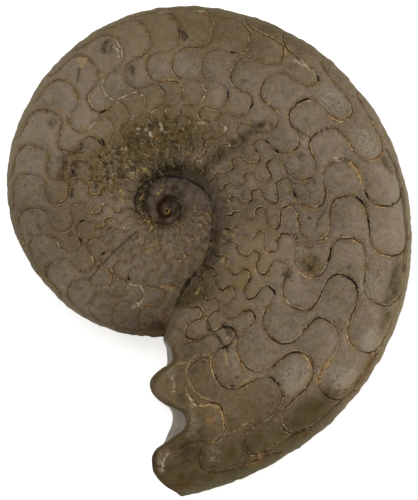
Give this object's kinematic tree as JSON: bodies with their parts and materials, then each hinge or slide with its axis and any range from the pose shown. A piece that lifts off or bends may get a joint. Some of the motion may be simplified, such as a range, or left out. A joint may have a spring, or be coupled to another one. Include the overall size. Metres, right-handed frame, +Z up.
{
  "type": "fossil ammonite cast",
  "caption": "Stone cast of a large disc-shaped ceratitid ammonite, lying on its side, with wavy suture lines, a small stepped umbilicus and a fluted broken mouth.",
  "frame": {"origin": "on the surface that the stone lies on, under the centre of its bounding box", "axes": "+Z up, square to the resting face; +Y along the longest side, from the broken mouth to the top of the disc as the picture shows it; +X to the picture's right"},
  "size_m": [0.2021, 0.2449, 0.0537],
  "materials": {
    "limestone": "worn, mostly matt with a waxy sheen on the saddles"
  },
  "bodies": {
    "root": {"ammonite_cast": "limestone"}
  },
  "joints": []
}
